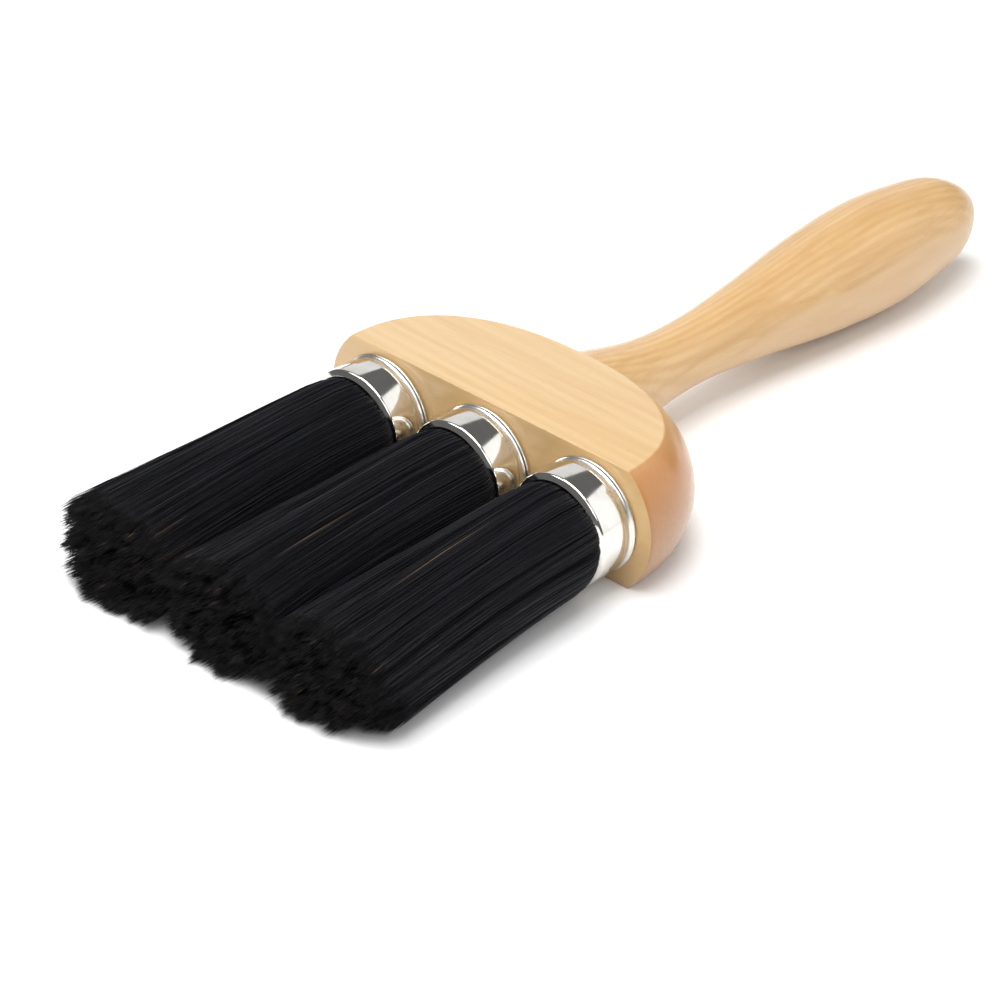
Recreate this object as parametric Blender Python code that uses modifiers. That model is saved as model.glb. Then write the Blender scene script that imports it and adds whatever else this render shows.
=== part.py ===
"""Three-knot wash brush: a D-shaped wooden stock with a turned handle behind it and three round
bristle knots in plated ferrule cups on its flat front.

Metres, +Z up. The origin is the middle of the stock's flat underside. +Y runs from the bristles to
the handle, and X runs along the row of knots. Left is -X, as seen by someone facing the knots.
"""

import math

import bmesh
import bpy
from mathutils import Matrix, Vector

MM = 0.001
GAP = 0.3 * MM  # clearance between neighbouring pieces

# Stock: a flat D with a round bullnose rim and a flat front face
STOCK_WIDTH = 102 * MM  # straight front edge of the flat top face
STOCK_DEPTH = 36.5 * MM  # front face to the back of the flat top face
STOCK_HEIGHT = 36.5 * MM
STOCK_ROUNDNESS = 2.35  # exponent of the D's superellipse: 2 is an ellipse
RIM_BULGE = 8.5 * MM  # how far the bullnose stands out past the flat faces
RIM_STEPS = 8
D_STEPS = 40

AXIS_HEIGHT = STOCK_HEIGHT / 2  # the knots' and the handle's axes lie at mid-height
FRONT_Y, REAR_Y = -STOCK_DEPTH / 2, STOCK_DEPTH / 2

# Knots
KNOT_PITCH = 38 * MM
KNOTS = {"left": -1, "centre": 0, "right": 1}
KNOT_LEAN = math.radians(1.5)  # the outer knots splay outwards
LEAN_ROOM = 0.8 * MM  # extra clearance that a leaning knot's butts need
KNOT_TIP = 102 * MM  # front face of the stock to the bristle tips
TIP_RADIUS = 18.1 * MM

# Ferrule cup, with distances measured forward from the stock's front face
BAND_RADIUS = 16.3 * MM
SHEET = 0.5 * MM
BEAD_RADIUS, BEAD_AT, BEAD_CENTRE = 0.5 * MM, 0.85 * MM, 15.95 * MM
COVE_RADIUS = 15.7 * MM  # between the bead and the band
COVE_START, COVE_END, BAND_START = 1.6 * MM, 3.4 * MM, 4.2 * MM
SHOULDER_RADIUS, SHOULDER_AT = 0.85 * MM, 12.0 * MM  # front edge of the band
MOUTH = 13.5 * MM
MOUTH_RADIUS = 14.55 * MM
BORE = BAND_RADIUS - SHEET

# Hidden pieces in each cup
PLUG_RADIUS, PLUG_END = 5.0 * MM, 45 * MM
SETTING_END = 6.0 * MM
SCREW_RADIUS, SCREW_DEPTH = 2.2 * MM, 16 * MM
SCREW_HEAD_RADIUS, SCREW_HEAD_HEIGHT = 4.0 * MM, 2.4 * MM

# Handle, with distances measured back from the flat top face's rear edge
HANDLE_LENGTH = 167 * MM
HANDLE_END_ROUND = 18.7 * MM  # length of the rounded end
HANDLE_STATIONS = (  # distance back, radius, both in millimetres
    (-2, 16.6),  # flare against the stock
    (12, 13.2),
    (27, 10.2),
    (46, 9.55),  # neck
    (70, 11.7),
    (97, 15.2),
    (124, 16.6),  # belly
    (148, 13.9),
    (167, 10.0),
)
TENON_RADIUS = 8.0 * MM
TENON_DEPTH = 18 * MM  # from the flat top face's rear edge forward into the stock

# Nail that locks the tenon, driven up from the underside
NAIL_RADIUS, NAIL_HEAD_RADIUS, NAIL_HEAD_HEIGHT = 1.1 * MM, 2.2 * MM, 1.0 * MM
NAIL_SUNK = 0.5 * MM
NAIL_TOP = 29 * MM
NAIL_Y = 9.5 * MM

TURN_STEPS = 36
FORWARD = Matrix.Rotation(math.radians(90), 4, "X")  # turns a piece's own +Z to the world's -Y


def clear_scene():
    for old in list(bpy.data.objects):
        bpy.data.objects.remove(old, do_unlink=True)


def collection(name):
    made = bpy.data.collections.new(name)
    bpy.context.scene.collection.children.link(made)
    return made


def material(name, colour, roughness, metallic=0.0):
    made = bpy.data.materials.new(name)
    made.use_nodes = True
    shader = made.node_tree.nodes["Principled BSDF"]
    shader.inputs["Base Color"].default_value = (*colour, 1)
    shader.inputs["Roughness"].default_value = roughness
    shader.inputs["Metallic"].default_value = metallic
    return made


def add_object(name, mesh, home, finish=None, place=Matrix()):
    made = bpy.data.objects.new(name, mesh)
    home.objects.link(made)
    made.matrix_world = place
    if finish:
        mesh.materials.append(finish)
    return made


def hide_cutter(cutter):
    cutter.hide_render = True
    cutter.display_type = "WIRE"
    return cutter


def boolean(target, operation, other):
    made = target.modifiers.new(f"{operation.lower()} {other.name}", "BOOLEAN")
    made.operation = operation
    made.object = other
    made.solver = "EXACT"


def arc(centre, radius, start, end, steps):
    """Points of an arc from the start to the end angle, in degrees."""
    points = []
    for step in range(steps + 1):
        angle = math.radians(start + (end - start) * step / steps)
        points.append((centre[0] + radius * math.cos(angle), centre[1] + radius * math.sin(angle)))
    return points


def turned(name, profile, home, finish=None, place=Matrix(), closed=False):
    """A body turned about its own Z from (radius, height) points that run down its outer side."""
    mesh = bpy.data.meshes.new(name)
    edges = [(i, i + 1) for i in range(len(profile) - 1)]
    if closed:
        edges.append((len(profile) - 1, 0))
    mesh.from_pydata([(radius, 0, height) for radius, height in profile], edges, [])
    made = add_object(name, mesh, home, finish, place)
    screw = made.modifiers.new("turn", "SCREW")
    screw.steps = screw.render_steps = TURN_STEPS
    screw.use_merge_vertices = True
    screw.merge_threshold = 0.00001
    screw.use_smooth_shade = True
    return made


def rod_cutter(name, radius, length, home, place):
    """A plain cylinder from its own origin along +Z, used to cut holes or to join on."""
    mesh = bpy.data.meshes.new(name)
    work = bmesh.new()
    bmesh.ops.create_cone(
        work, cap_ends=True, segments=TURN_STEPS, radius1=radius, radius2=radius, depth=length
    )
    bmesh.ops.translate(work, verts=work.verts, vec=Vector((0, 0, length / 2)))
    work.to_mesh(mesh)
    work.free()
    return hide_cutter(add_object(name, mesh, home, None, place))


def rim_offset(height):
    """How far the bullnose stands out at this height from the stock's middle plane."""
    radius = ((STOCK_HEIGHT / 2) ** 2 + RIM_BULGE**2) / (2 * RIM_BULGE)
    return math.sqrt(radius**2 - height**2) - (radius - RIM_BULGE)


def d_outline(offset):
    """The D's curved side, grown by an offset, from its right end round the back to its left."""
    half = STOCK_WIDTH / 2
    points = []
    for step in range(D_STEPS + 1):
        angle = math.pi * step / D_STEPS
        across = math.copysign(abs(math.cos(angle)) ** (2 / STOCK_ROUNDNESS), math.cos(angle))
        back = abs(math.sin(angle)) ** (2 / STOCK_ROUNDNESS)
        if step in (0, D_STEPS):
            across, back = round(across), 0.0
        slope_x = math.copysign(abs(across) ** (STOCK_ROUNDNESS - 1), across) / half
        slope_y = back ** (STOCK_ROUNDNESS - 1) / STOCK_DEPTH
        length = math.hypot(slope_x, slope_y)
        points.append(
            Vector(
                (
                    half * across + offset * slope_x / length,
                    FRONT_Y + STOCK_DEPTH * back + offset * slope_y / length,
                )
            )
        )
    return points


def stock_body(name, grown, home, finish=None):
    """The D block as a loft of its outline, from the underside to the top. Its front is flat."""
    mesh = bpy.data.meshes.new(name)
    work = bmesh.new()
    rings = []
    for step in range(RIM_STEPS + 1):
        height = STOCK_HEIGHT * (step / RIM_STEPS - 0.5)
        outline = d_outline(rim_offset(height) + grown)
        rings.append([work.verts.new((p.x, p.y, AXIS_HEIGHT + height)) for p in outline])
    for low, high in zip(rings, rings[1:]):
        for i in range(D_STEPS):
            work.faces.new((low[i], low[i + 1], high[i + 1], high[i]))
    work.faces.new(reversed(rings[0]))
    work.faces.new(rings[-1])
    work.faces.new([ring[-1] for ring in rings] + [ring[0] for ring in reversed(rings)])
    bmesh.ops.recalc_face_normals(work, faces=work.faces)
    work.to_mesh(mesh)
    work.free()
    mesh.shade_smooth()
    mesh.set_sharp_from_angle(angle=math.radians(20))
    return add_object(name, mesh, home, finish)


def front_place(side):
    """Where a knot's axis meets the stock's front face, facing forward."""
    spot = Vector((side * KNOT_PITCH, FRONT_Y, AXIS_HEIGHT))
    return Matrix.Translation(spot) @ FORWARD


def leaning_place(side):
    """The same place, with the axis leaned outwards about the middle of the ferrule's mouth."""
    pivot = Vector((0, 0, MOUTH))
    lean = Matrix.Rotation(side * KNOT_LEAN, 4, "Y")
    return front_place(side) @ Matrix.Translation(pivot) @ lean @ Matrix.Translation(-pivot)


def ferrule_profile():
    """Closed section of the cup: mouth, cone, shoulder, band, cove, bead, floor and inner wall."""
    hole = SCREW_RADIUS + GAP
    cove_bore = COVE_RADIUS - SHEET
    points = [
        (MOUTH_RADIUS, MOUTH - 0.1 * MM),
        (MOUTH_RADIUS + 0.15 * MM, MOUTH),
        (MOUTH_RADIUS + 0.35 * MM, MOUTH - 0.05 * MM),
    ]
    points += arc((BAND_RADIUS - SHOULDER_RADIUS, SHOULDER_AT), SHOULDER_RADIUS, 56, 0, 5)
    points += [
        (BAND_RADIUS, BAND_START),
        (BAND_RADIUS - 0.15 * MM, BAND_START - 0.35 * MM),
        (COVE_RADIUS, COVE_END),
        (COVE_RADIUS, COVE_START),
    ]
    points += arc((BEAD_CENTRE, BEAD_AT), BEAD_RADIUS, 80, -80, 5)
    points += [
        (COVE_RADIUS - 0.2 * MM, GAP),
        (hole, GAP),
        (hole, GAP + SHEET),
        (cove_bore, GAP + SHEET),
        (cove_bore, COVE_END + 0.15 * MM),
        (BORE, BAND_START + 0.1 * MM),
        (BORE, SHOULDER_AT - 0.4 * MM),
    ]
    return points


def knot_profile():
    """The bristle bundle, butts in the cup, with a hollow for the core plug."""
    neck = MOUTH_RADIUS - GAP
    butt = SETTING_END + LEAN_ROOM
    hollow = PLUG_RADIUS + GAP
    return [
        (0, KNOT_TIP),
        (12 * MM, KNOT_TIP - 0.5 * MM),
        (TIP_RADIUS - 0.6 * MM, KNOT_TIP - 3 * MM),
        (TIP_RADIUS, KNOT_TIP - 8 * MM),
        (17.3 * MM, 62 * MM),
        (16.8 * MM, 32 * MM),
        (16.3 * MM, MOUTH + 5 * MM),
        (15.3 * MM, MOUTH + 1.3 * MM),
        (neck - 0.1 * MM, MOUTH + 0.1 * MM),
        (neck - 0.1 * MM, SHOULDER_AT - 0.9 * MM),
        (BORE - 3 * GAP, SHOULDER_AT - 2.5 * MM),
        (BORE - 3 * GAP, butt),
        (hollow, butt),
        (hollow, PLUG_END + GAP),
        (0, PLUG_END + GAP),
    ]


def setting_profile():
    """The cement ring behind the bristle butts. It follows the cup's inner wall."""
    rear = 2 * GAP + SHEET
    outer = BORE - GAP
    inner = PLUG_RADIUS + LEAN_ROOM
    cove = COVE_RADIUS - SHEET - GAP
    return [
        (outer, SETTING_END),
        (outer, BAND_START + 2 * GAP),
        (cove, COVE_END + GAP),
        (cove, rear),
        (inner, rear),
        (inner, SETTING_END),
    ]


def screw_profile():
    """Pan head, plain shank and point. The head's underside faces the cup's floor."""
    seat = 2 * GAP + SHEET
    top = seat + SCREW_HEAD_HEIGHT
    return [
        (0, top),
        (SCREW_HEAD_RADIUS * 0.7, top - 0.1 * MM),
        (SCREW_HEAD_RADIUS, top - 0.9 * MM),
        (SCREW_HEAD_RADIUS, seat),
        (SCREW_RADIUS, seat),
        (SCREW_RADIUS, 4 * MM - SCREW_DEPTH),
        (0, -SCREW_DEPTH),
    ]


def nail_profile():
    """The nail stands head down, with its point up."""
    shoulder = NAIL_SUNK + NAIL_HEAD_HEIGHT
    return [
        (0, NAIL_TOP),
        (NAIL_RADIUS, NAIL_TOP - 3 * MM),
        (NAIL_RADIUS, shoulder),
        (NAIL_HEAD_RADIUS, shoulder),
        (NAIL_HEAD_RADIUS, NAIL_SUNK),
        (0, NAIL_SUNK),
    ]


def smooth_curve(stations, at):
    """Value at a distance on a smooth curve through (distance, value) stations."""
    last = len(stations) - 1

    def slope(i):
        low, high = stations[max(i - 1, 0)], stations[min(i + 1, last)]
        return (high[1] - low[1]) / (high[0] - low[0])

    i = next(k for k in range(last) if at <= stations[k + 1][0] or k == last - 1)
    (x0, y0), (x1, y1) = stations[i], stations[i + 1]
    span = x1 - x0
    t = (at - x0) / span
    ease = (
        (2 * t**3 - 3 * t**2 + 1) * y0
        + (t**3 - 2 * t**2 + t) * span * slope(i)
        + (3 * t**2 - 2 * t**3) * y1
        + (t**3 - t**2) * span * slope(i + 1)
    )
    return ease


def handle_profile():
    """From the round end, at the bottom in its own frame turned to +Y, to the flare at the stock."""
    start = HANDLE_STATIONS[0][0] * MM
    round_start = HANDLE_LENGTH - HANDLE_END_ROUND
    body_steps, end_steps = 20, 8
    stops = [start + (round_start - start) * i / body_steps for i in range(body_steps + 1)]
    for i in range(1, end_steps + 1):
        stops.append(round_start + HANDLE_END_ROUND * math.sin(math.pi / 2 * i / end_steps))
    points = [(0, start)]
    for stop in stops:
        into_end = max(0.0, (stop - round_start) / HANDLE_END_ROUND)
        closing = math.sqrt(max(0.0, 1 - into_end**2.2))
        points.append((smooth_curve(HANDLE_STATIONS, stop / MM) * MM * closing, stop))
    points[-1] = (0, HANDLE_LENGTH)
    return points[::-1]


def build_stock(parts, cutters, beech):
    stock = stock_body("stock", 0.0, parts, beech)
    for side_name, side in KNOTS.items():
        hole = rod_cutter(
            f"cut_screw_{side_name}",
            SCREW_RADIUS + GAP,
            SCREW_DEPTH + GAP + 5 * MM,
            cutters,
            front_place(side) @ Matrix.Translation((0, 0, -SCREW_DEPTH - GAP)),
        )
        boolean(stock, "DIFFERENCE", hole)
    socket = rod_cutter(
        "cut_tenon",
        TENON_RADIUS + GAP,
        TENON_DEPTH + GAP + 3 * RIM_BULGE,
        cutters,
        Matrix.Translation((0, REAR_Y - TENON_DEPTH - GAP, AXIS_HEIGHT)) @ FORWARD.inverted(),
    )
    boolean(stock, "DIFFERENCE", socket)
    head_hole = rod_cutter(
        "cut_nail_head",
        NAIL_HEAD_RADIUS + GAP,
        NAIL_SUNK + NAIL_HEAD_HEIGHT + GAP + 5 * MM,
        cutters,
        Matrix.Translation((0, NAIL_Y, -5 * MM)),
    )
    boolean(stock, "DIFFERENCE", head_hole)
    return stock


def build_handle(parts, cutters, beech, nail_hole):
    """The turned handle is coped to the stock's rim, then its tenon is joined on."""
    backward = FORWARD.inverted()
    rear_edge = Matrix.Translation((0, REAR_Y, AXIS_HEIGHT)) @ backward
    handle = turned("handle", handle_profile(), parts, beech, rear_edge)
    cope = hide_cutter(stock_body("cut_cope", GAP, cutters))
    boolean(handle, "DIFFERENCE", cope)
    tenon = rod_cutter(
        "join_tenon",
        TENON_RADIUS,
        TENON_DEPTH + 2 * RIM_BULGE,
        cutters,
        rear_edge @ Matrix.Translation((0, 0, -TENON_DEPTH)),
    )
    boolean(handle, "UNION", tenon)
    boolean(handle, "DIFFERENCE", nail_hole)
    return handle


def build_knots(parts, cutters, looks):
    for side_name, side in KNOTS.items():
        straight = front_place(side)
        leaning = leaning_place(side)
        ring = ferrule_profile()
        turned(f"ferrule_{side_name}", ring, parts, looks["nickel"], straight, closed=True)
        turned(f"bristles_{side_name}", knot_profile(), parts, looks["bristle"], leaning)
        cement = setting_profile()
        turned(f"setting_{side_name}", cement, parts, looks["cement"], straight, closed=True)
        plug = [
            (0, PLUG_END),
            (PLUG_RADIUS - MM, PLUG_END),
            (PLUG_RADIUS, PLUG_END - MM),
            (PLUG_RADIUS - 0.3 * MM, 4 * MM),
            (0, 4 * MM),
        ]
        turned(f"core_plug_{side_name}", plug, parts, looks["plug"], leaning)
        screw = turned(f"knot_screw_{side_name}", screw_profile(), parts, looks["steel"], straight)
        mesh = bpy.data.meshes.new("cut_slot")
        work = bmesh.new()
        bmesh.ops.create_cube(work, size=1.0)
        bmesh.ops.scale(work, verts=work.verts, vec=(12 * MM, MM, 2 * MM))
        work.to_mesh(mesh)
        work.free()
        slot_spot = straight @ Matrix.Translation((0, 0, 2 * GAP + SHEET + SCREW_HEAD_HEIGHT))
        slot = hide_cutter(add_object(f"cut_slot_{side_name}", mesh, cutters, None, slot_spot))
        boolean(screw, "DIFFERENCE", slot)


def build():
    clear_scene()
    parts = collection("three_knot_wash_brush")
    cutters = collection("cutters")
    beech = material("beech", (0.83, 0.58, 0.32), 0.35)
    looks = {
        "nickel": material("nickel", (0.75, 0.74, 0.72), 0.12, 1.0),
        "bristle": material("black_bristle", (0.012, 0.012, 0.015), 0.45),
        "cement": material("cement", (0.10, 0.08, 0.06), 0.7),
        "plug": material("plug_wood", (0.62, 0.45, 0.28), 0.7),
        "steel": material("screw_steel", (0.55, 0.55, 0.55), 0.3, 1.0),
    }
    nail_hole = rod_cutter(
        "cut_nail",
        NAIL_RADIUS + GAP,
        NAIL_TOP + GAP + 5 * MM,
        cutters,
        Matrix.Translation((0, NAIL_Y, -5 * MM)),
    )
    stock = build_stock(parts, cutters, beech)
    boolean(stock, "DIFFERENCE", nail_hole)
    build_handle(parts, cutters, beech, nail_hole)
    nail_spot = Matrix.Translation((0, NAIL_Y, 0))
    turned("handle_nail", nail_profile(), parts, looks["steel"], nail_spot)
    build_knots(parts, cutters, looks)


build()
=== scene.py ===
"""Looks of the three-knot wash brush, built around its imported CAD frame.

Metres, in the CAD frame: the origin is the middle of the stock's underside, +Y runs from the
bristles to the handle, and X runs along the row of knots. The brush lies on the floor at z = 0.
"""

import math

import bmesh
import bpy
import numpy as np
from mathutils import Matrix, Vector


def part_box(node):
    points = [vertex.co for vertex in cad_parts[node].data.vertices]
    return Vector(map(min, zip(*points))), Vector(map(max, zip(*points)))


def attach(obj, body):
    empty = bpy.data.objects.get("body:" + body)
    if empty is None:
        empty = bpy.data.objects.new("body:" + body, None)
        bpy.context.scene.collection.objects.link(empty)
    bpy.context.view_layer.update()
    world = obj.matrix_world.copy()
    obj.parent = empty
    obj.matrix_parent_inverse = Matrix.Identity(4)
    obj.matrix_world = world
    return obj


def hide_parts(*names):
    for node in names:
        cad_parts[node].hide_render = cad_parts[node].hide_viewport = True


MM = 0.001
SIDES = {"left": -1, "centre": 0, "right": 1}

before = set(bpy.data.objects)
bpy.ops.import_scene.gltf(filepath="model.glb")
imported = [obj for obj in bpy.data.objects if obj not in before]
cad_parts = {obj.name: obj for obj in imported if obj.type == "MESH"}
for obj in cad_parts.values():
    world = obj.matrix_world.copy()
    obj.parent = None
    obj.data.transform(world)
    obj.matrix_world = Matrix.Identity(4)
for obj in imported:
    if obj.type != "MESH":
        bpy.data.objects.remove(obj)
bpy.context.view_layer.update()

# Stock, read from its CAD box
STOCK_LOW, STOCK_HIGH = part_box("stock")
FRONT_Y = STOCK_LOW.y
STOCK_HEIGHT = STOCK_HIGH.z - STOCK_LOW.z
AXIS_Z = (STOCK_LOW.z + STOCK_HIGH.z) / 2
RIM_BULGE = 8.5 * MM  # how far the bullnose stands out past the flat faces
TOP_WIDTH = STOCK_HIGH.x - STOCK_LOW.x - 2 * RIM_BULGE
TOP_DEPTH = STOCK_HIGH.y - STOCK_LOW.y - RIM_BULGE
ROUNDNESS = 2.35  # exponent of the D's superellipse
EDGE_ROUND = 0.45 * MM
D_STEPS, RIM_LEVELS = 120, 20

# Nail hole in the stock's underside
NAIL_CLEARANCE = 0.3 * MM
NAIL_HOLE_DEPTH = 1.3 * MM  # above the nail's lowest point

# Handle
HANDLE_FLARE = 16.4 * MM  # radius where the handle meets the stock
HANDLE_RINGS, HANDLE_STEPS = 160, 112
COPE_GAP = 0.15 * MM  # between the handle and the stock's round back

# Ferrules
FERRULE_STEPS = 144

# Bristles
FIRST_SEED = 4100
COAT_STRANDS = 3900  # long strands that show along each knot
END_STRANDS = 6500  # strands that show only at each knot's end
STRAND_RADIUS = 0.135 * MM
COAT_STOPS = (-0.03, 0.012, 0.035, 0.09, 0.25, 0.5, 0.78, 0.945, 1.0)
END_STOPS = (0.76, 0.89, 0.965, 1.0)
CORE_RINGS = ((-0.02, 0.9), (0.03, 0.86), (0.3, 0.84), (0.6, 0.83), (0.84, 0.80), (0.88, 0.6))
LOCKS = 60  # broad locks that the strands of a knot lean toward
TUFTS = 430  # small tufts that the tips gather into
PARTINGS = 7  # shallow grooves along a knot's surface
GOLDEN = 0.012  # share of long strands that are golden for part of their length
GOLDEN_ENDS = 6 * GOLDEN  # the same among the strands at the ends
COAT_INNER = 0.80  # share of the bundle's radius where the long strands start
ENDS_OUTER = 0.97  # share of the radius that the end strands fill
COAT_WANDER, ENDS_WANDER = 0.035, 0.03
CORE_STEPS = 48
WORN_CORNER = 0.09  # how much shorter the right knot's outer lower corner is

# Stage
FLOOR_SIZE = 3.2


# ---------------------------------------------------------------- helpers


def place(piece, slot, *nodes):
    """Links a finished piece, rides it on the brush and hides the CAD nodes it stands for."""
    if piece.name not in bpy.context.scene.collection.objects:
        bpy.context.scene.collection.objects.link(piece)
    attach(piece, "root")
    if nodes:
        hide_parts(*nodes)
    return piece


def mesh_from_arrays(name, points, faces):
    """A mesh from an array of points and a list of equal-sided face arrays."""
    mesh = bpy.data.meshes.new(name)
    mesh.vertices.add(len(points))
    mesh.vertices.foreach_set("co", np.asarray(points, np.float32).ravel())
    loops = np.concatenate([f.ravel() for f in faces]).astype(np.int32)
    sizes = np.concatenate([np.full(len(f), f.shape[1], np.int32) for f in faces])
    starts = np.concatenate([[0], np.cumsum(sizes)[:-1]]).astype(np.int32)
    mesh.loops.add(len(loops))
    mesh.loops.foreach_set("vertex_index", loops)
    mesh.polygons.add(len(sizes))
    mesh.polygons.foreach_set("loop_start", starts)
    mesh.update(calc_edges=True)
    mesh.validate()
    mesh.shade_smooth()
    return mesh


def smooth_curve(stops, values, at):
    """Values of a smooth curve through stations, at many places. It is level beyond both ends."""
    stops, values, at = (np.asarray(a, float) for a in (stops, values, at))
    at = np.clip(at, stops[0], stops[-1])
    slopes = np.gradient(values, stops)
    i = np.clip(np.searchsorted(stops, at) - 1, 0, len(stops) - 2)
    span = stops[i + 1] - stops[i]
    t = (at - stops[i]) / span
    low = (2 * t**3 - 3 * t**2 + 1) * values[i] + (t**3 - 2 * t**2 + t) * span * slopes[i]
    high = (3 * t**2 - 2 * t**3) * values[i + 1] + (t**3 - t**2) * span * slopes[i + 1]
    return low + high


def arc(centre, radius, start, end, steps):
    """Points of an arc from the start to the end angle, in degrees."""
    angles = np.radians(np.linspace(start, end, steps + 1))
    return [(centre[0] + radius * math.cos(a), centre[1] + radius * math.sin(a)) for a in angles]


def turned_mesh(name, profile, centre, steps, closed):
    """A body turned about the Y direction from (radius, y) points, around a centre in X and Z."""
    profile = np.asarray(profile, float)
    on_axis = profile[:, 0] < 1e-7
    points, rows = [], []
    for radius, y in profile:
        count = 1 if radius < 1e-7 else steps
        angles = np.arange(count) * 2 * math.pi / steps
        rows.append(np.arange(count) + len(points))
        for a in angles:
            points.append((centre[0] + radius * math.cos(a), y, centre[1] + radius * math.sin(a)))
    quads, tris = [], []
    pairs = list(zip(range(len(rows) - 1), range(1, len(rows))))
    if closed:
        pairs.append((len(rows) - 1, 0))
    for a, b in pairs:
        if on_axis[a] and on_axis[b]:
            continue
        nxt = np.roll(np.arange(steps), -1)
        if on_axis[a]:
            tris.append(np.stack([np.full(steps, rows[a][0]), rows[b], rows[b][nxt]], 1))
        elif on_axis[b]:
            tris.append(np.stack([rows[a], np.full(steps, rows[b][0]), rows[a][nxt]], 1))
        else:
            quads.append(np.stack([rows[a], rows[b], rows[b][nxt], rows[a][nxt]], 1))
    faces = ([np.concatenate(quads)] if quads else []) + ([np.concatenate(tris)] if tris else [])
    mesh = mesh_from_arrays(name, points, faces)
    work = bmesh.new()
    work.from_mesh(mesh)
    bmesh.ops.recalc_face_normals(work, faces=work.faces)
    work.to_mesh(mesh)
    work.free()
    return mesh


def cut(piece, cutter):
    """Cuts a hole or a cope, applies it, and removes the cutter."""
    bpy.context.scene.collection.objects.link(cutter)
    modifier = piece.modifiers.new("cut", "BOOLEAN")
    modifier.operation = "DIFFERENCE"
    modifier.object = cutter
    modifier.solver = "EXACT"
    apply_modifiers(piece)
    bpy.data.objects.remove(cutter)


def apply_modifiers(piece):
    """Turns a piece's modifiers into its mesh."""
    shown = piece.evaluated_get(bpy.context.evaluated_depsgraph_get())
    made = bpy.data.meshes.new_from_object(shown)
    old = piece.data
    piece.modifiers.clear()
    piece.data = made
    made.name = old.name
    bpy.data.meshes.remove(old)


# ---------------------------------------------------------------- materials


class Nodes:
    """Small helper that adds and joins shader nodes in one material."""

    def __init__(self, name):
        self.material = bpy.data.materials.new(name)
        self.material.use_nodes = True
        self.tree = self.material.node_tree
        self.shader = self.tree.nodes["Principled BSDF"]

    def add(self, kind, **settings):
        """A new node, with its own properties set by name."""
        node = self.tree.nodes.new(kind)
        for key, value in settings.items():
            setattr(node, key, value)
        return node

    def join(self, source, target):
        self.tree.links.new(source, target)

    def coordinates(self):
        """Object coordinates, which here are the brush's own coordinates in metres."""
        return self.add("ShaderNodeTexCoord").outputs["Object"]

    def parts(self, vector):
        """The X, Y and Z parts of a vector, by name."""
        node = self.add("ShaderNodeSeparateXYZ")
        self.join(vector, node.inputs["Vector"])
        return node.outputs

    def mapped(self, scale):
        """Object coordinates, stretched, so that a texture follows the wood's grain."""
        mapping = self.add("ShaderNodeMapping")
        mapping.inputs["Scale"].default_value = scale
        self.join(self.coordinates(), mapping.inputs["Vector"])
        return mapping.outputs["Vector"]

    def noise(self, vector, scale, detail=3.0, roughness=0.5, distortion=0.0):
        node = self.add("ShaderNodeTexNoise")
        node.inputs["Scale"].default_value = scale
        node.inputs["Detail"].default_value = detail
        node.inputs["Roughness"].default_value = roughness
        node.inputs["Distortion"].default_value = distortion
        self.join(vector, node.inputs["Vector"])
        return node.outputs["Fac"]

    def ramp(self, value, stops):
        """Colour through (position, colour) stops."""
        node = self.add("ShaderNodeValToRGB")
        ramp = node.color_ramp
        while len(ramp.elements) < len(stops):
            ramp.elements.new(0.5)
        for element, (at, colour) in zip(ramp.elements, stops):
            element.position = at
            element.color = (*colour, 1)
        self.join(value, node.inputs["Fac"])
        return node.outputs["Color"]

    def math(self, operation, a, b=0.0):
        node = self.add("ShaderNodeMath", operation=operation)
        for socket, value in zip(node.inputs, (a, b)):
            self.feed(socket, value)
        return node.outputs["Value"]

    def mix(self, factor, a, b):
        """Blend of two colours."""
        node = self.add("ShaderNodeMix", data_type="RGBA")
        sockets = [s for s in node.inputs if s.type == "RGBA"]
        self.feed(node.inputs[0], factor)
        self.feed(sockets[0], a)
        self.feed(sockets[1], b)
        return next(s for s in node.outputs if s.type == "RGBA")

    def feed(self, socket, value):
        """Sets a socket to a number or a colour, or joins it to another node's output."""
        if isinstance(value, (int, float)):
            socket.default_value = value
        elif isinstance(value, tuple):
            socket.default_value = (*value, 1)
        else:
            self.join(value, socket)

    def spread(self, value, low, high, out_low=0.0, out_high=1.0):
        """Maps one range of a value to another, and holds it there beyond the ends."""
        node = self.add("ShaderNodeMapRange")
        node.inputs["From Min"].default_value = low
        node.inputs["From Max"].default_value = high
        node.inputs["To Min"].default_value = out_low
        node.inputs["To Max"].default_value = out_high
        self.join(value, node.inputs["Value"])
        return node.outputs["Result"]

    def bump(self, height, strength, distance):
        node = self.add("ShaderNodeBump")
        node.inputs["Strength"].default_value = strength
        node.inputs["Distance"].default_value = distance
        self.join(height, node.inputs["Height"])
        self.join(node.outputs["Normal"], self.shader.inputs["Normal"])


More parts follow.
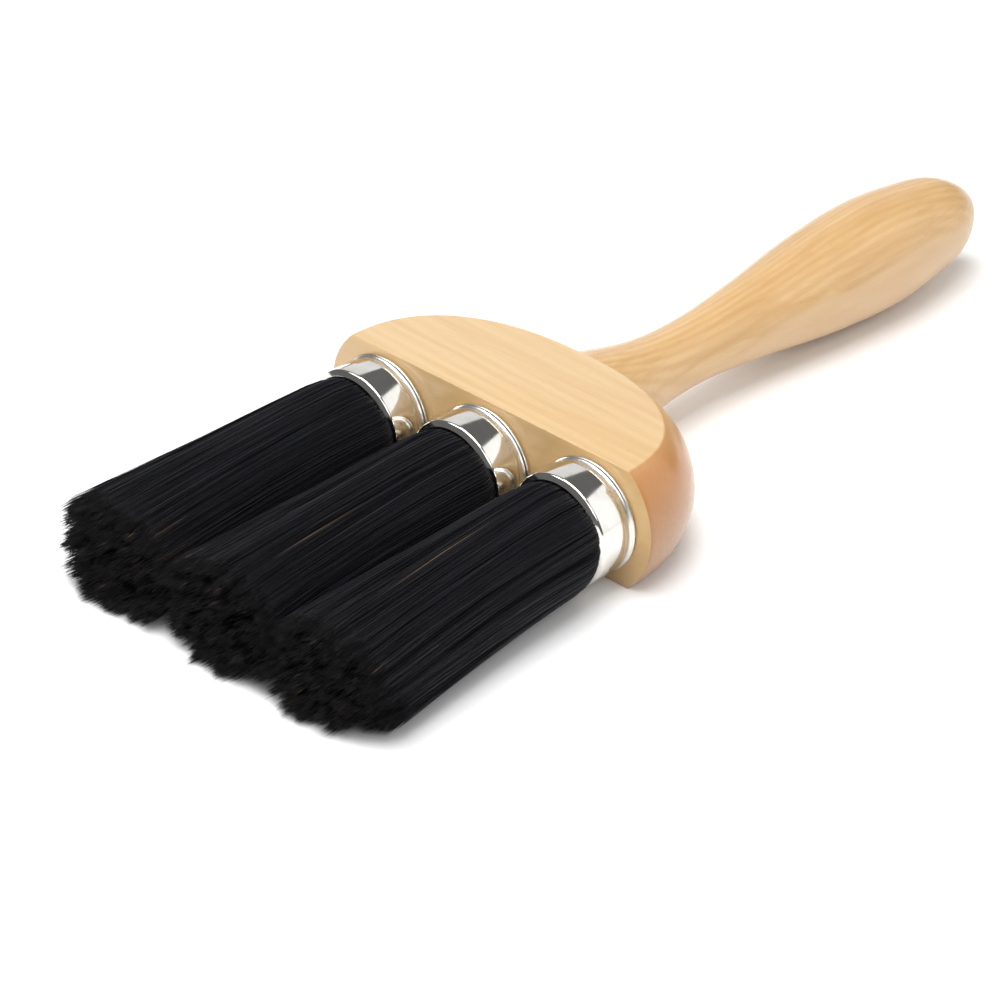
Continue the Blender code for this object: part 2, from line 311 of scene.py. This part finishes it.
def beech(name, grain, heart, pale, tan, streak, coat, end_colour=None, sap=None):
    """Lacquered beech: growth rings round the grain's direction, fine fibres and soft mottling."""
    n = Nodes(name)

    def stretched(across, along):
        return tuple(along if axis == grain else across for axis in "XYZ")

    where = n.coordinates()
    turned = n.add("ShaderNodeMapping")
    turned.inputs["Location"].default_value = heart["offset"]
    turned.inputs["Rotation"].default_value = [math.radians(a) for a in heart["tilt"]]
    n.join(where, turned.inputs["Vector"])
    squeezed = n.add("ShaderNodeMapping")
    squeezed.inputs["Scale"].default_value = stretched(1.0, 0.16)
    n.join(turned.outputs["Vector"], squeezed.inputs["Vector"])
    rings = n.add("ShaderNodeTexWave", wave_type="RINGS", rings_direction=grain)
    rings.inputs["Scale"].default_value = 2 * math.pi / (20 * heart["spacing"])
    rings.inputs["Distortion"].default_value = heart["waver"]
    rings.inputs["Detail"].default_value = 3.0
    rings.inputs["Detail Scale"].default_value = 0.45
    n.join(squeezed.outputs["Vector"], rings.inputs["Vector"])
    fibres = n.noise(n.mapped(stretched(1.0, 0.03)), 1000, 4, 0.62)
    streaks = n.noise(n.mapped(stretched(1.0, 0.06)), 260, 3, 0.6, 0.4)
    broad = n.noise(n.mapped(stretched(1.0, 0.25)), 30, 2, 0.5, 0.3)
    flecks = n.noise(n.mapped(stretched(1.0, 0.25)), 1300, 1, 0.4)
    colour = n.mix(n.spread(rings.outputs["Fac"], 0.15, 0.95), pale, tan)
    colour = n.mix(n.spread(broad, 0.35, 0.7, 0.0, 0.5), colour, tan)
    colour = n.mix(n.spread(streaks, 0.42, 0.72, 0.0, 0.7), colour, streak)
    colour = n.mix(n.spread(fibres, 0.5, 0.8, 0.0, 0.45), colour, streak)
    colour = n.mix(n.spread(flecks, 0.66, 0.80, 0.0, 0.14), colour, tuple(c * 0.6 for c in streak))
    if sap:
        # Paler sapwood beyond a wavering boundary along the grain.
        parts = n.parts(where)
        depth = n.math("SUBTRACT", n.math("MULTIPLY", parts["X"], 0.62), parts["Z"])
        waver = n.math("MULTIPLY", n.math("SUBTRACT", broad, 0.5), 0.040)
        edge = n.math("ADD", depth, waver)
        share = n.spread(edge, sap["at"] - 1.2 * MM, sap["at"] + 1.2 * MM, 0.0, 0.62)
        colour = n.mix(share, colour, sap["colour"])
    if end_colour:
        normal = n.parts(n.add("ShaderNodeNewGeometry").outputs["Normal"])
        height = n.parts(where)["Z"]
        # Painted light and shade on the flat front: a warmer, lighter tint, darker where it meets
        # the floor.
        painted_front_light_and_shade = n.mix(n.spread(height, 0.002, 0.017), (0.44, 0.265, 0.115), (0.69, 0.44, 0.185))
        ahead = n.math("MULTIPLY", normal["Y"], -1.0)
        colour = n.mix(n.spread(ahead, 0.7, 0.98, 0.0, 0.78), colour, n.mix(0.25, painted_front_light_and_shade, colour))
        # End grain drinks the lacquer and is darker. Its shift to orange near the top edge is
        # painted light.
        facing = n.math("ABSOLUTE", normal["X"])
        pores = n.noise(n.mapped((1.0, 1.0, 1.0)), 1400, 2, 0.6)
        pore_colour = tuple(c * 0.7 for c in end_colour)
        end = n.mix(n.spread(pores, 0.4, 0.7, 0.0, 0.45), end_colour, pore_colour)
        # Painted light: the end grain is made more orange toward the top edge.
        end = n.mix(n.spread(height, 0.015, 0.034, 0.0, 0.8), end, (0.43, 0.155, 0.018))
        colour = n.mix(n.spread(facing, 0.12, 0.75, 0.0, 0.92), colour, end)
    n.join(colour, n.shader.inputs["Base Color"])
    n.join(n.spread(fibres, 0.3, 0.7, 0.36, 0.5), n.shader.inputs["Roughness"])
    n.shader.inputs["Coat Weight"].default_value = coat
    n.shader.inputs["Coat Roughness"].default_value = 0.22
    n.shader.inputs["Specular IOR Level"].default_value = 0.4
    n.bump(n.math("ADD", fibres, n.math("MULTIPLY", streaks, 0.5)), 0.10, 0.05 * MM)
    return n.material


def nickel():
    """Bright nickel plate with faint turning lines and smudges."""
    n = Nodes("nickel_plate")
    smudge = n.noise(n.mapped((1.0, 1.0, 1.0)), 160, 3, 0.6)
    lines = n.noise(n.mapped((0.4, 12.0, 0.4)), 420, 2, 0.5)
    colour = n.mix(n.spread(smudge, 0.35, 0.7), (0.76, 0.745, 0.705), (0.67, 0.655, 0.615))
    n.join(colour, n.shader.inputs["Base Color"])
    n.shader.inputs["Metallic"].default_value = 1.0
    # The rolled bead and the cove beside the stock are duller than the band.
    y = n.parts(n.coordinates())["Y"]
    rolled = n.spread(y, FRONT_Y - 4.3 * MM, FRONT_Y - 3.9 * MM, 0.0, 0.20)
    polish = n.spread(smudge, 0.3, 0.75, 0.06, 0.14)
    n.join(n.math("ADD", polish, rolled), n.shader.inputs["Roughness"])
    n.bump(n.math("ADD", lines, n.math("MULTIPLY", smudge, 2.0)), 0.05, 0.03 * MM)
    return n.material


def bristle_hair():
    """Black bristle. Strands differ in tone, worn tips turn brown and lighter as wear plus a
    painted highlight, a few stretches are golden.
    """
    n = Nodes("black_bristle")
    tone = n.add("ShaderNodeAttribute", attribute_name="tone").outputs["Fac"]
    wear_and_highlight = n.add("ShaderNodeAttribute", attribute_name="wear_and_highlight").outputs["Fac"]
    golden = n.add("ShaderNodeAttribute", attribute_name="golden").outputs["Fac"]
    darkest, middle, lightest = (
        (0.0015, 0.0015, 0.0028),
        (0.0050, 0.0052, 0.0085),
        (0.0120, 0.0112, 0.0130),
    )
    colour = n.ramp(tone, ((0.0, darkest), (0.6, middle), (1.0, lightest)))
    # Tips: a brownish wear colour that is also a painted highlight, lighter than the strands.
    colour = n.mix(wear_and_highlight, colour, (0.010, 0.0082, 0.0075))
    colour = n.mix(golden, colour, (0.14, 0.09, 0.042))
    n.join(colour, n.shader.inputs["Base Color"])
    n.join(n.spread(tone, 0.0, 1.0, 0.40, 0.58), n.shader.inputs["Roughness"])
    n.shader.inputs["Specular IOR Level"].default_value = 0.26
    return n.material


def dull(name, colour, dark, scale, roughness, metallic=0.0):
    """Plain hidden material with mottled colour, roughness and a little relief."""
    n = Nodes(name)
    mottle = n.noise(n.mapped((1.0, 1.0, 1.0)), scale, 4, 0.6)
    n.join(n.mix(n.spread(mottle, 0.3, 0.7), colour, dark), n.shader.inputs["Base Color"])
    n.join(n.spread(mottle, 0.3, 0.7, roughness, roughness + 0.15), n.shader.inputs["Roughness"])
    n.shader.inputs["Metallic"].default_value = metallic
    n.bump(mottle, 0.3, 0.1 * MM)
    return n.material


# ---------------------------------------------------------------- wood


def rim_offset(height):
    """How far the bullnose stands out at this height from the stock's middle plane."""
    radius = ((STOCK_HEIGHT / 2) ** 2 + RIM_BULGE**2) / (2 * RIM_BULGE)
    return math.sqrt(radius**2 - height**2) - (radius - RIM_BULGE)


def d_outline(offset, steps):
    """The D's curved side, grown by an offset, from its right end round the back to its left."""
    angles = np.linspace(0, math.pi, steps + 1)
    across = np.sign(np.cos(angles)) * np.abs(np.cos(angles)) ** (2 / ROUNDNESS)
    back = np.abs(np.sin(angles)) ** (2 / ROUNDNESS)
    back[[0, -1]] = 0.0
    half = TOP_WIDTH / 2
    slope = np.stack(
        [
            np.sign(across) * np.abs(across) ** (ROUNDNESS - 1) / half,
            back ** (ROUNDNESS - 1) / TOP_DEPTH,
        ],
        1,
    )
    slope /= np.linalg.norm(slope, axis=1)[:, None]
    flat = np.stack([half * across, FRONT_Y + TOP_DEPTH * back], 1)
    return flat + offset * slope


def stock_mesh(name, grown, steps, levels):
    """The D block, lofted from its underside to its top with a round rim and a flat front."""
    work = bmesh.new()
    rings = []
    for height in np.linspace(-0.5, 0.5, levels + 1) * STOCK_HEIGHT:
        outline = d_outline(rim_offset(height) + grown, steps)
        rings.append([work.verts.new((x, y, AXIS_Z + height)) for x, y in outline])
    for low, high in zip(rings, rings[1:]):
        for i in range(steps):
            work.faces.new((low[i], low[i + 1], high[i + 1], high[i]))
    work.faces.new(list(reversed(rings[0])))
    work.faces.new(rings[-1])
    work.faces.new([ring[-1] for ring in rings] + [ring[0] for ring in reversed(rings)])
    bmesh.ops.recalc_face_normals(work, faces=work.faces)
    mesh = bpy.data.meshes.new(name)
    work.to_mesh(mesh)
    work.free()
    mesh.shade_smooth()
    return mesh


def build_stock(look):
    stock = bpy.data.objects.new("stock_wood", stock_mesh("stock_wood", 0.0, D_STEPS, RIM_LEVELS))
    bpy.context.scene.collection.objects.link(stock)
    bevel = stock.modifiers.new("eased edges", "BEVEL")
    bevel.width = EDGE_ROUND
    bevel.segments = 3
    bevel.limit_method = "ANGLE"
    bevel.angle_limit = math.radians(25)
    apply_modifiers(stock)
    low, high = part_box("handle_nail")
    spot = (low + high) / 2
    radius = (high.x - low.x) / 2 + NAIL_CLEARANCE
    bottom, top = -5 * MM, low.z + NAIL_HOLE_DEPTH
    section = [(0, bottom), (radius, bottom), (radius, top), (0, top)]
    hole = turned_mesh("nail_hole", section, (0, 0), 48, False)
    hole.transform(Matrix.Rotation(math.radians(90), 4, "X"))
    hole.transform(Matrix.Translation((spot.x, spot.y, 0)))
    cut(stock, bpy.data.objects.new("nail_hole", hole))
    stock.data.shade_smooth()
    stock.data.set_sharp_from_angle(angle=math.radians(28))
    stock.data.materials.clear()
    stock.data.materials.append(look)
    return place(stock, "stock", "stock")


def turned_stations(node, first_y):
    """(y, radius) of each full ring of a turned CAD node behind a given y, in order."""
    points = np.array([v.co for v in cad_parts[node].data.vertices], float)
    radii = np.hypot(points[:, 0], points[:, 2] - AXIS_Z)
    heights = np.round(points[:, 1], 5)
    stations = []
    for y in np.unique(heights):
        ring = radii[heights == y]
        if y >= first_y and len(ring) >= 12 and ring.std() < 0.05 * MM:
            stations.append((y, ring.mean()))
    return stations


def build_handle(look):
    """The turned handle, as a finer surface through the CAD handle's own rings."""
    stations = [(STOCK_HIGH.y - RIM_BULGE, HANDLE_FLARE)]
    stations += turned_stations("handle", STOCK_HIGH.y + 1 * MM)
    ys, radii = np.array(stations).T
    travel = np.concatenate([[0], np.cumsum(np.hypot(np.diff(ys), np.diff(radii)))])
    at = np.linspace(0, travel[-1], HANDLE_RINGS)
    profile = list(zip(smooth_curve(travel, radii, at), smooth_curve(travel, ys, at)))
    profile = [(0.0, ys[0])] + profile[:-1] + [(0.0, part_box("handle")[1].y)]
    mesh = turned_mesh("handle_wood", profile, (0, AXIS_Z), HANDLE_STEPS, False)
    handle = bpy.data.objects.new("handle_wood", mesh)
    bpy.context.scene.collection.objects.link(handle)
    cope = bpy.data.objects.new("cope", stock_mesh("cope", COPE_GAP, 100, 16))
    cut(handle, cope)
    handle.data.shade_smooth()
    handle.data.set_sharp_from_angle(angle=math.radians(40))
    handle.data.materials.clear()
    handle.data.materials.append(look)
    return place(handle, "handle", "handle")


# ---------------------------------------------------------------- ferrules


def ferrule_section():
    """Closed section of the plated cup as (radius, distance in front of the stock), in mm."""
    band, sheet, floor, cove, screw_hole = 16.3, 0.5, 0.3, 15.7, 2.5
    inner = cove - sheet
    section = [(14.55, 13.25)]
    section += reversed(arc((14.77, 13.3), 0.2, 55, 190, 5))
    section += reversed(arc((band - 0.85, 12.0), 0.85, 0, 56, 10))
    section += reversed(arc((band - 0.5, 4.55), 0.5, -62, 0, 6))
    section += [(cove + 0.12, 3.75), (cove + 0.02, 3.3), (cove - 0.03, 2.5), (cove, 1.7)]
    section += reversed(arc((15.93, 0.87), 0.52, -80, 72, 10))
    section += [(cove - 0.2, floor), (screw_hole, floor), (screw_hole, floor + sheet)]
    section += [(inner, floor + sheet), (inner, 3.5)]
    section += [(band - sheet, 4.5), (band - sheet, 11.6), (15.1, 12.4)]
    return [(radius * MM, ahead * MM) for radius, ahead in section]


def build_ferrules(look):
    for side in SIDES:
        low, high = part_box(f"ferrule_{side}")
        centre = ((low.x + high.x) / 2, (low.z + high.z) / 2)
        profile = [(radius, FRONT_Y - ahead) for radius, ahead in ferrule_section()]
        mesh = turned_mesh(f"ferrule_plate_{side}", profile, centre, FERRULE_STEPS, True)
        mesh.set_sharp_from_angle(angle=math.radians(50))
        mesh.materials.append(look)
        place(bpy.data.objects.new(f"ferrule_plate_{side}", mesh), "ferrule", f"ferrule_{side}")


# ---------------------------------------------------------------- bristles


def knot_facts(side):
    """Where a knot starts and ends, and how it leans, read from its CAD solid."""
    points = np.array([v.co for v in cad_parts[f"bristles_{side}"].data.vertices], float)
    low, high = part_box(f"ferrule_{side}")
    axis_x = (low.x + high.x) / 2
    tip = points[points[:, 1] < points[:, 1].min() + 9 * MM]
    tip_x = (tip[:, 0].min() + tip[:, 0].max()) / 2
    return {
        "x": axis_x,
        "mouth": low.y,
        "tip": points[:, 1].min(),
        "lean": (tip_x - axis_x) / (low.y - points[:, 1].min()),
    }


# Half sizes of a knot's bundle in mm, at shares of the way from the ferrule's mouth to the tips.
# It leaves the mouth round, swells at once, then sags to the floor and spreads sideways.
BUNDLE_STOPS = (0.0, 0.010, 0.03, 0.07, 0.22, 0.55, 0.9, 1.0, 1.2)
BUNDLE_LEFT = (13.9, 14.5, 15.0, 15.4, 15.9, 17.3, 19.8, 20.7, 21.8)
BUNDLE_RIGHT = (13.9, 15.9, 16.5, 16.7, 16.7, 17.5, 19.4, 20.1, 21.0)
BUNDLE_UP = (13.9, 14.5, 14.9, 15.2, 15.2, 14.6, 13.5, 13.2, 12.7)
BUNDLE_DOWN = (13.9, 15.4, 16.2, 16.5, 16.6, 16.6, 15.6, 15.2, 14.4)
BUNDLE_DROP = (0.0, 0.0, 0.0, 0.0, 0.2, 1.1, 2.2, 2.6, 3.2)


def bundle_place(knot, across, up, along):
    """World points of bundle places: across and up from -1 to 1, along from mouth to tip."""
    left = smooth_curve(BUNDLE_STOPS, BUNDLE_LEFT, along)
    right = smooth_curve(BUNDLE_STOPS, BUNDLE_RIGHT, along)
    above = smooth_curve(BUNDLE_STOPS, BUNDLE_UP, along)
    below = smooth_curve(BUNDLE_STOPS, BUNDLE_DOWN, along)
    drop = smooth_curve(BUNDLE_STOPS, BUNDLE_DROP, along)
    # The lower half squares up toward the tips, where it lies on the floor.
    square = 2 + np.clip(along, 0, 1) * np.where(up < 0, 1.6, 0.3)
    a, b = np.abs(across) + 1e-9, np.abs(up) + 1e-9
    fuller = np.hypot(a, b) / (a**square + b**square) ** (1 / square)
    ahead = along * (knot["mouth"] - knot["tip"])
    x = knot["x"] + knot["lean"] * ahead + across * fuller * np.where(across < 0, left, right) * MM
    z = AXIS_Z + (up * fuller * np.where(up < 0, below, above) - drop) * MM
    return np.stack([x, knot["mouth"] - ahead, np.maximum(z, 0.25 * MM)], -1)


def ease(value, start, end):
    """0 before the start, 1 after the end, and a smooth rise between."""
    t = np.clip((value - start) / (end - start), 0, 1)
    return t * t * (3 - 2 * t)


def nearest_of(places, centres):
    """Index of the nearest centre to each place."""
    return np.argmin(((places[:, None, :] - centres[None]) ** 2).sum(2), 1)


class Knot:
    """One knot's shape: where it stands, how its strands gather and where its surface parts."""

    def __init__(self, side, seed):
        self.rng = np.random.default_rng(seed)
        self.facts = knot_facts(side)
        self.locks = disc_places(self.rng, LOCKS, 0.0, 1.0)
        self.lock_pull = self.rng.uniform(0.05, 0.32, LOCKS)
        self.lock_shift = self.rng.normal(0, 0.035, (LOCKS, 2))
        self.tufts = disc_places(self.rng, TUFTS, 0.0, 1.02)
        self.tuft_pull = self.rng.uniform(0.6, 0.97, TUFTS)
        self.tuft_length = self.rng.normal(0, 0.012, TUFTS)
        self.worn_corner = WORN_CORNER if side == "right" else 0.0
        self.partings = [
            (turn, self.rng.uniform(0.03, 0.07), self.rng.uniform(0.05, 0.13))
            for turn in self.rng.uniform(-math.pi, math.pi, PARTINGS)
        ]

    def gather(self, places, along, wander):
        """Bundle places of every strand at every ring, from its own place at the mouth."""
        lock = nearest_of(places, self.locks)
        tuft = nearest_of(places, self.tufts)
        to_lock = self.locks[lock] - places
        to_tuft = self.tufts[tuft] - places
        early = ease(along, 0.02, 0.6)[..., None]
        late = ease(along, 0.915, 0.995)[..., None]
        moved = places[:, None] + to_lock[:, None] * self.lock_pull[lock][:, None, None] * early
        moved = moved + self.lock_shift[lock][:, None] * along[..., None]
        moved = moved + to_tuft[:, None] * self.tuft_pull[tuft][:, None, None] * late
        moved = moved + wander[:, None, :] * np.maximum(along, 0)[..., None] ** 1.4
        for turn, width, depth in self.partings:
            angle = np.arctan2(moved[..., 1], moved[..., 0]) - turn
            angle = (angle + math.pi) % (2 * math.pi) - math.pi
            window = ease(along, 0.0, 0.05) * (1 - 0.8 * ease(along, 0.45, 0.85))
            moved = moved * (1 - depth * np.exp(-((angle / width) ** 2)) * window)[..., None]
        return moved

    def lengths(self, places):
        """Strand lengths as shares of the knot's length: longest on the floor, with ragged ends."""
        count = len(places)
        out, up = np.abs(places[:, 0]), places[:, 1]
        length = 0.976 + 0.050 * np.clip(-up, 0, 1) * (1 - out**3) - 0.008 * out**2
        length += self.tuft_length[nearest_of(places, self.tufts)]
        length += self.rng.normal(0, 0.006, count)
        length -= self.worn_corner * ease(places[:, 0] - up, 0.8, 1.4)
        short = self.rng.random(count) < 0.16
        return np.where(short, length - self.rng.uniform(0, 0.13, count), length)


def strands(name, knot, places, stops, wander, golden_share):
    """Many thin three-sided strands with pointed tips, as one mesh with values for its look."""
    rng = knot.rng
    count, rings = len(places), len(stops)
    stops = np.asarray(stops)
    along = stops[None, :] * knot.lengths(places)[:, None]
    moved = knot.gather(places, along, wander)
    phase = rng.uniform(0, 2 * math.pi, (count, 1, 2))
    size = rng.uniform(0.003, 0.014, (count, 1, 2))
    moved = moved + size * np.sin(phase + along[..., None] * 7) * along[..., None]
    centre = bundle_place(knot.facts, moved[..., 0], moved[..., 1], along)
    forward = np.gradient(centre, axis=1)
    forward /= np.linalg.norm(forward, axis=2)[..., None]
    turn = rng.uniform(0, 2 * math.pi, count)
    side = np.stack([np.cos(turn), np.zeros(count), np.sin(turn)], 1)[:, None, :]
    side = side - (side * forward).sum(2)[..., None] * forward
    side /= np.linalg.norm(side, axis=2)[..., None]
    other = np.cross(forward, side)
    taper = 1 - 0.35 * stops**4
    thick = STRAND_RADIUS * rng.uniform(0.7, 1.2, count)[:, None] * taper[None, :]
    body = []
    for corner in range(3):
        a = 2 * math.pi * corner / 3
        body.append(centre + thick[..., None] * (math.cos(a) * side + math.sin(a) * other))
    body = np.stack(body, 2)[:, :-1]
    per = (rings - 1) * 3 + 1
    points = np.zeros((count, per, 3))
    points[:, :-1] = body.reshape(count, -1, 3)
    points[:, -1] = centre[:, -1]
    base = (np.arange(count) * per)[:, None]
    quads, tris = [], []
    for ring in range(rings - 2):
        for corner in range(3):
            nxt = (corner + 1) % 3
            low, high = ring * 3, ring * 3 + 3
            quads.append([low + corner, low + nxt, high + nxt, high + corner])
    for corner in range(3):
        last = (rings - 2) * 3
        tris.append([last + corner, last + (corner + 1) % 3, per - 1])
    tris.append([2, 1, 0])
    quads = (base[:, None] + np.array(quads)[None]).reshape(-1, 4)
    tris = (base[:, None] + np.array(tris)[None]).reshape(-1, 3)
    mesh = mesh_from_arrays(name, points.reshape(-1, 3), [quads, tris])
    tone = np.repeat(rng.beta(2.0, 2.5, count), per)
    # Share of each tip that is painted: real wear, plus a painted highlight.
    wear_and_highlight_share = np.clip((along - 0.84) / 0.16, 0, 1) ** 1.5 * rng.uniform(0.0, 1.0, (count, 1))
    # A few strands are golden for part of their length.
    middle, half = rng.uniform(0.2, 1.05, (count, 1)), rng.uniform(0.02, 0.12, (count, 1))
    golden = (rng.random((count, 1)) < golden_share) * (np.abs(along - middle) < half)
    for label, values in (("wear_and_highlight", wear_and_highlight_share), ("golden", golden)):
        rows = np.concatenate([np.repeat(values[:, :-1], 3, 1), values[:, -1:]], 1)
        layer = mesh.attributes.new(label, "FLOAT", "POINT")
        layer.data.foreach_set("value", rows.ravel().astype(np.float32))
    layer = mesh.attributes.new("tone", "FLOAT", "POINT")
    layer.data.foreach_set("value", tone.astype(np.float32))
    return mesh


def disc_places(rng, count, inner, outer):
    """Random places in a ring of the bundle's cross-section."""
    radius = np.sqrt(rng.uniform(inner**2, outer**2, count))
    angle = rng.uniform(0, 2 * math.pi, count)
    return np.stack([radius * np.cos(angle), radius * np.sin(angle)], 1)


def build_bristles(look, core_look):
    for index, side in enumerate(SIDES):
        knot = Knot(side, FIRST_SEED + index)
        coat = disc_places(knot.rng, COAT_STRANDS, COAT_INNER, 1.0)
        wander = knot.rng.normal(0, COAT_WANDER, (COAT_STRANDS, 2))
        coat_mesh = strands(f"bristle_coat_{side}", knot, coat, COAT_STOPS, wander, GOLDEN)
        ends = disc_places(knot.rng, END_STRANDS, 0.0, ENDS_OUTER)
        wander = knot.rng.normal(0, ENDS_WANDER, (END_STRANDS, 2))
        ends_mesh = strands(f"bristle_ends_{side}", knot, ends, END_STOPS, wander, GOLDEN_ENDS)
        angles = np.linspace(0, 2 * math.pi, CORE_STEPS + 1)[:-1]
        across, up = np.cos(angles), np.sin(angles)
        rings = [
            bundle_place(knot.facts, size * across, size * up, np.full(CORE_STEPS, along))
            for along, size in CORE_RINGS
        ]
        core_mesh = loft_mesh(f"bristle_core_{side}", rings)
        for mesh, finish, nodes in (
            (coat_mesh, look, (f"bristles_{side}",)),
            (ends_mesh, look, ()),
            (core_mesh, core_look, ()),
        ):
            mesh.materials.append(finish)
            place(bpy.data.objects.new(mesh.name, mesh), "bristle", *nodes)


def loft_mesh(name, rings):
    """A closed body through rings of equal length, capped by a centre point at each end."""
    count = len(rings[0])
    points = np.concatenate(rings + [rings[0].mean(0)[None], rings[-1].mean(0)[None]])
    i = np.arange(count)
    nxt = np.roll(i, -1)
    quads = []
    for ring in range(len(rings) - 1):
        a, b = ring * count, (ring + 1) * count
        quads.append(np.stack([a + i, b + i, b + nxt, a + nxt], 1))
    last = (len(rings) - 1) * count
    start, end = len(points) - 2, len(points) - 1
    tris = [
        np.stack([np.full(count, start), i, nxt], 1),
        np.stack([np.full(count, end), last + nxt, last + i], 1),
    ]
    return mesh_from_arrays(name, points, [np.concatenate(quads), np.concatenate(tris)])


# ---------------------------------------------------------------- hidden CAD pieces


def dress_cad_nodes():
    """Gives the hidden CAD pieces that stay as they are their finishes."""
    finishes = {
        "setting": dull("setting_cement", (0.10, 0.08, 0.06), (0.05, 0.04, 0.03), 900, 0.6),
        "core_plug": dull("raw_plug_wood", (0.62, 0.45, 0.28), (0.50, 0.34, 0.19), 700, 0.6),
        "knot_screw": dull("screw_zinc", (0.60, 0.60, 0.58), (0.45, 0.45, 0.44), 600, 0.22, 1.0),
        "handle_nail": dull("nail_steel", (0.50, 0.49, 0.47), (0.34, 0.33, 0.31), 800, 0.28, 1.0),
    }
    for name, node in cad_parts.items():
        for start, finish in finishes.items():
            if name.startswith(start):
                node.data.materials.clear()
                node.data.materials.append(finish)


# ---------------------------------------------------------------- stage


def build_stage():
    bpy.ops.mesh.primitive_plane_add(size=FLOOR_SIZE, location=(0, 0, 0))
    floor = bpy.context.active_object
    floor.name = "floor"
    n = Nodes("pale_floor")
    tint = n.noise(n.mapped((1.0, 1.0, 1.0)), 3, 2, 0.5)
    n.join(n.mix(tint, (0.94, 0.94, 0.94), (0.95, 0.95, 0.95)), n.shader.inputs["Base Color"])
    n.shader.inputs["Roughness"].default_value = 0.9
    n.shader.inputs["Specular IOR Level"].default_value = 0.0
    floor.data.materials.append(n.material)


def panel(name, azimuth, elevation, distance, size, radiance):
    """Soft light panel facing the brush. The azimuth runs from +Y toward +X."""
    azimuth, elevation = math.radians(azimuth), math.radians(elevation)
    spot = distance * Vector(
        (
            math.sin(azimuth) * math.cos(elevation),
            math.cos(azimuth) * math.cos(elevation),
            math.sin(elevation),
        )
    )
    data = bpy.data.lights.new(name, "AREA")
    data.shape = "RECTANGLE"
    data.size, data.size_y = size
    data.energy = 4 * radiance * size[0] * size[1]
    light = bpy.data.objects.new(name, data)
    bpy.context.scene.collection.objects.link(light)
    light.location = spot
    light.rotation_euler = (-spot).to_track_quat("-Z", "Y").to_euler()
    light.visible_camera = False


def build_lights():
    panel("overhead", 188, 79, 1.5, (1.4, 1.2), 4.5)
    panel("front_left", -125, 46, 1.5, (0.55, 0.55), 3.5)
    panel("front_right", 125, 40, 1.6, (1.2, 0.8), 1.85)
    panel("back_left", -45, 22, 1.7, (1.3, 1.15), 0.62)
    panel("back_right", 40, 24, 1.7, (1.3, 1.62), 0.95)
    world = bpy.data.worlds.new("studio")
    bpy.context.scene.world = world
    world.use_nodes = True
    tree = world.node_tree
    dim = tree.nodes["Background"]
    dim.inputs["Color"].default_value = (1, 1, 1, 1)
    dim.inputs["Strength"].default_value = 0.16
    paper = tree.nodes.new("ShaderNodeBackground")
    paper.inputs["Strength"].default_value = 1.1
    rays = tree.nodes.new("ShaderNodeLightPath")
    choose = tree.nodes.new("ShaderNodeMixShader")
    tree.links.new(rays.outputs["Is Camera Ray"], choose.inputs["Fac"])
    tree.links.new(dim.outputs["Background"], choose.inputs[1])
    tree.links.new(paper.outputs["Background"], choose.inputs[2])
    tree.links.new(choose.outputs["Shader"], tree.nodes["World Output"].inputs["Surface"])


def build_camera():
    azimuth, elevation, roll = math.radians(43.66), math.radians(32.08), math.radians(0.31)
    distance = 1.2072
    aim = Vector((6.5 * MM, FRONT_Y - 1.8 * MM, AXIS_Z - 9.2 * MM))
    right = Vector((math.cos(azimuth), math.sin(azimuth), 0))
    ahead = Vector(
        (
            -math.sin(azimuth) * math.cos(elevation),
            math.cos(azimuth) * math.cos(elevation),
            -math.sin(elevation),
        )
    )
    up = right.cross(ahead)
    turn = Matrix((right, up, -ahead)).transposed().to_4x4()
    data = bpy.data.cameras.new("camera")
    data.sensor_width = 36
    data.lens = 162
    data.clip_start, data.clip_end = 0.05, 50
    camera = bpy.data.objects.new("camera", data)
    bpy.context.scene.collection.objects.link(camera)
    camera.matrix_world = (
        Matrix.Translation(aim - ahead * distance) @ turn @ Matrix.Rotation(roll, 4, "Z")
    )
    bpy.context.scene.camera = camera


def build_looks():
    stock_heart = {
        "offset": (0.0, -0.055, 0.035),
        "tilt": (0, 1.5, 1.0),
        "spacing": 2.6 * MM,
        "waver": 2.2,
    }
    stock_look = beech(
        "beech_stock", "X", stock_heart, (0.580, 0.406, 0.208), (0.558, 0.372, 0.178),
        (0.510, 0.316, 0.133), 0.8, end_colour=(0.345, 0.150, 0.045),
    )
    handle_heart = {
        "offset": (0.052, 0.0, -0.034),
        "tilt": (2.5, 0, 1.5),
        "spacing": 2.1 * MM,
        "waver": 3.0,
    }
    handle_look = beech(
        "beech_handle", "Y", handle_heart, (0.590, 0.390, 0.192), (0.540, 0.335, 0.145),
        (0.470, 0.265, 0.096), 0.45, sap={"at": -0.0085, "colour": (0.575, 0.39, 0.222)},
    )
    build_stock(stock_look)
    build_handle(handle_look)
    build_ferrules(nickel())
    core_look = dull("bristle_core_black", (0.004, 0.004, 0.005), (0.002, 0.002, 0.003), 900, 0.7)
    build_bristles(bristle_hair(), core_look)
    dress_cad_nodes()


build_looks()
build_stage()
build_lights()
build_camera()
bpy.context.scene.view_settings.view_transform = "Standard"
